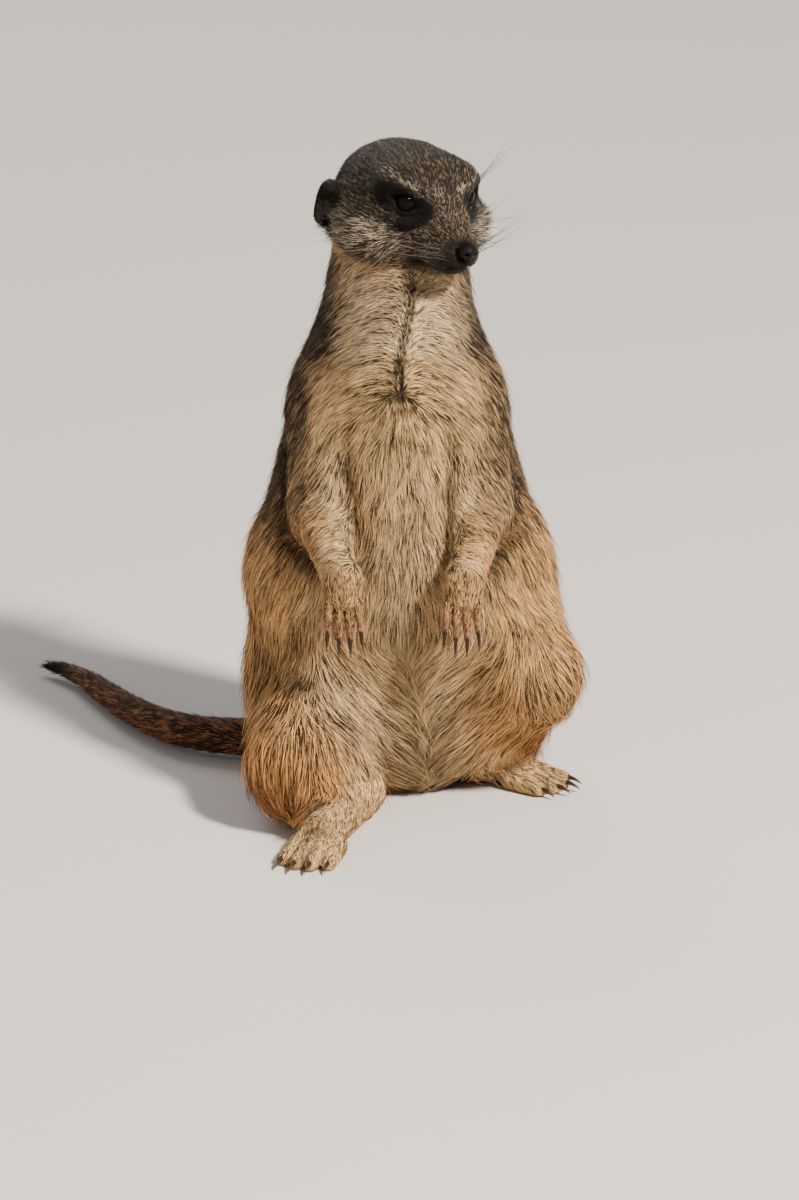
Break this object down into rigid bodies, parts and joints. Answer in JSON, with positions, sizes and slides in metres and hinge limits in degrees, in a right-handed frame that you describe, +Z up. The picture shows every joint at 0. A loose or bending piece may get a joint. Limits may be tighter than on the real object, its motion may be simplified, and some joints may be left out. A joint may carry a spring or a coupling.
{
  "type": "meerkat",
  "caption": "Life-size still model of a meerkat sitting upright on its rump, head turned to its left, forearms hanging, tail laid out behind.",
  "frame": {"origin": "on the floor, on the flat under the rump that the animal sits on", "axes": "+Z up, -Y the way the chest faces, +X towards the animal's own left"},
  "size_m": [0.224, 0.2564, 0.256],
  "materials": {
    "fur_grey": "grizzled grey-brown fur, banded hairs",
    "fur_tan": "long tan to golden fur",
    "fur_pale": "short cream fur",
    "fur_black": "short black-brown fur",
    "nose": "bare dark skin, slightly moist",
    "eye": "dark brown, wet gloss",
    "claw": "dark horn, low sheen"
  },
  "bodies": {
    "root": {"belly": "fur_grey", "chest": "fur_pale", "claw_foot_left_1": "claw", "claw_foot_left_2": "claw", "claw_foot_left_3": "claw", "claw_foot_left_4": "claw", "claw_foot_right_1": "claw", "claw_foot_right_2": "claw", "claw_foot_right_3": "claw", "claw_foot_right_4": "claw", "claw_hand_left_1": "claw", "claw_hand_left_2": "claw", "claw_hand_left_3": "claw", "claw_hand_left_4": "claw", "claw_hand_right_1": "claw", "claw_hand_right_2": "claw", "claw_hand_right_3": "claw", "claw_hand_right_4": "claw", "ear_left": "fur_black", "ear_right": "fur_black", "eye_left": "eye", "eye_right": "eye", "foot_left": "fur_pale", "foot_right": "fur_pale", "forearm_left": "fur_grey", "forearm_right": "fur_grey", "hand_left": "fur_pale", "hand_right": "fur_pale", "head": "fur_grey", "neck": "fur_grey", "nose": "nose", "rump": "fur_grey", "shank_left": "fur_grey", "shank_right": "fur_grey", "tail_end": "fur_grey", "tail_middle": "fur_grey", "tail_root": "fur_grey", "tail_tip": "fur_black", "thigh_left": "fur_tan", "thigh_right": "fur_tan", "upper_arm_left": "fur_grey", "upper_arm_right": "fur_grey"}
  },
  "joints": []
}
